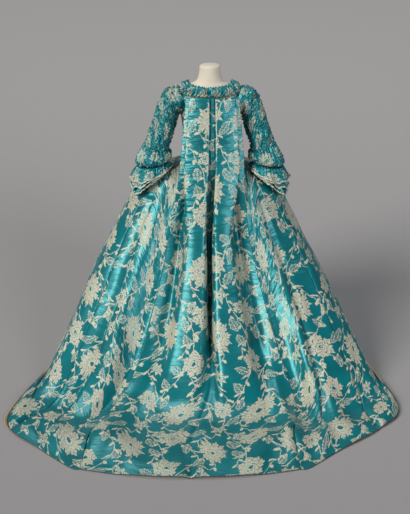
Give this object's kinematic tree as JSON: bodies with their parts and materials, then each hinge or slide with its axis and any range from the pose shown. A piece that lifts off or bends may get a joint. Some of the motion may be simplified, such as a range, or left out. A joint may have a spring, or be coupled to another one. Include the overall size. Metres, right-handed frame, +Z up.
{
  "type": "robe a la francaise on dress form",
  "caption": "Sack-back silk gown with pleats falling from a gathered neck band to a long train, elbow sleeves with flounces, on a limbless dress form and stand.",
  "frame": {"origin": "centre of the underside of the stand's round foot, on the floor below the form's axis", "axes": "+Z up; the wearer faces -Y, so the train runs out along +Y; +X is the wearer's left"},
  "size_m": [1.7854, 1.7369, 1.422],
  "materials": {
    "silk_brocade": "turquoise satin ground with a woven cream floral, lined in cream",
    "silk_trimming": "the same silk, gathered and edged with a narrow cream and green gimp",
    "linen_form": "smooth cream linen cover, matt",
    "turned_wood": "dark stained and waxed"
  },
  "bodies": {
    "root": {"back_left": "silk_brocade", "back_right": "silk_brocade", "bodice_back": "silk_brocade", "bodice_front_left": "silk_brocade", "bodice_front_right": "silk_brocade", "cuff_puff_left": "silk_trimming", "cuff_puff_right": "silk_trimming", "flounce_lower_left": "silk_trimming", "flounce_lower_right": "silk_trimming", "flounce_middle_left": "silk_trimming", "flounce_middle_right": "silk_trimming", "flounce_upper_left": "silk_trimming", "flounce_upper_right": "silk_trimming", "form_torso": "linen_form", "neck_ruche": "silk_trimming", "skirt_front_left": "silk_brocade", "skirt_front_right": "silk_brocade", "skirt_quarter_left": "silk_brocade", "skirt_quarter_right": "silk_brocade", "skirt_side_left": "silk_brocade", "skirt_side_right": "silk_brocade", "sleeve_left": "silk_brocade", "sleeve_right": "silk_brocade", "stand_foot": "turned_wood", "stand_pole": "turned_wood"}
  },
  "joints": []
}
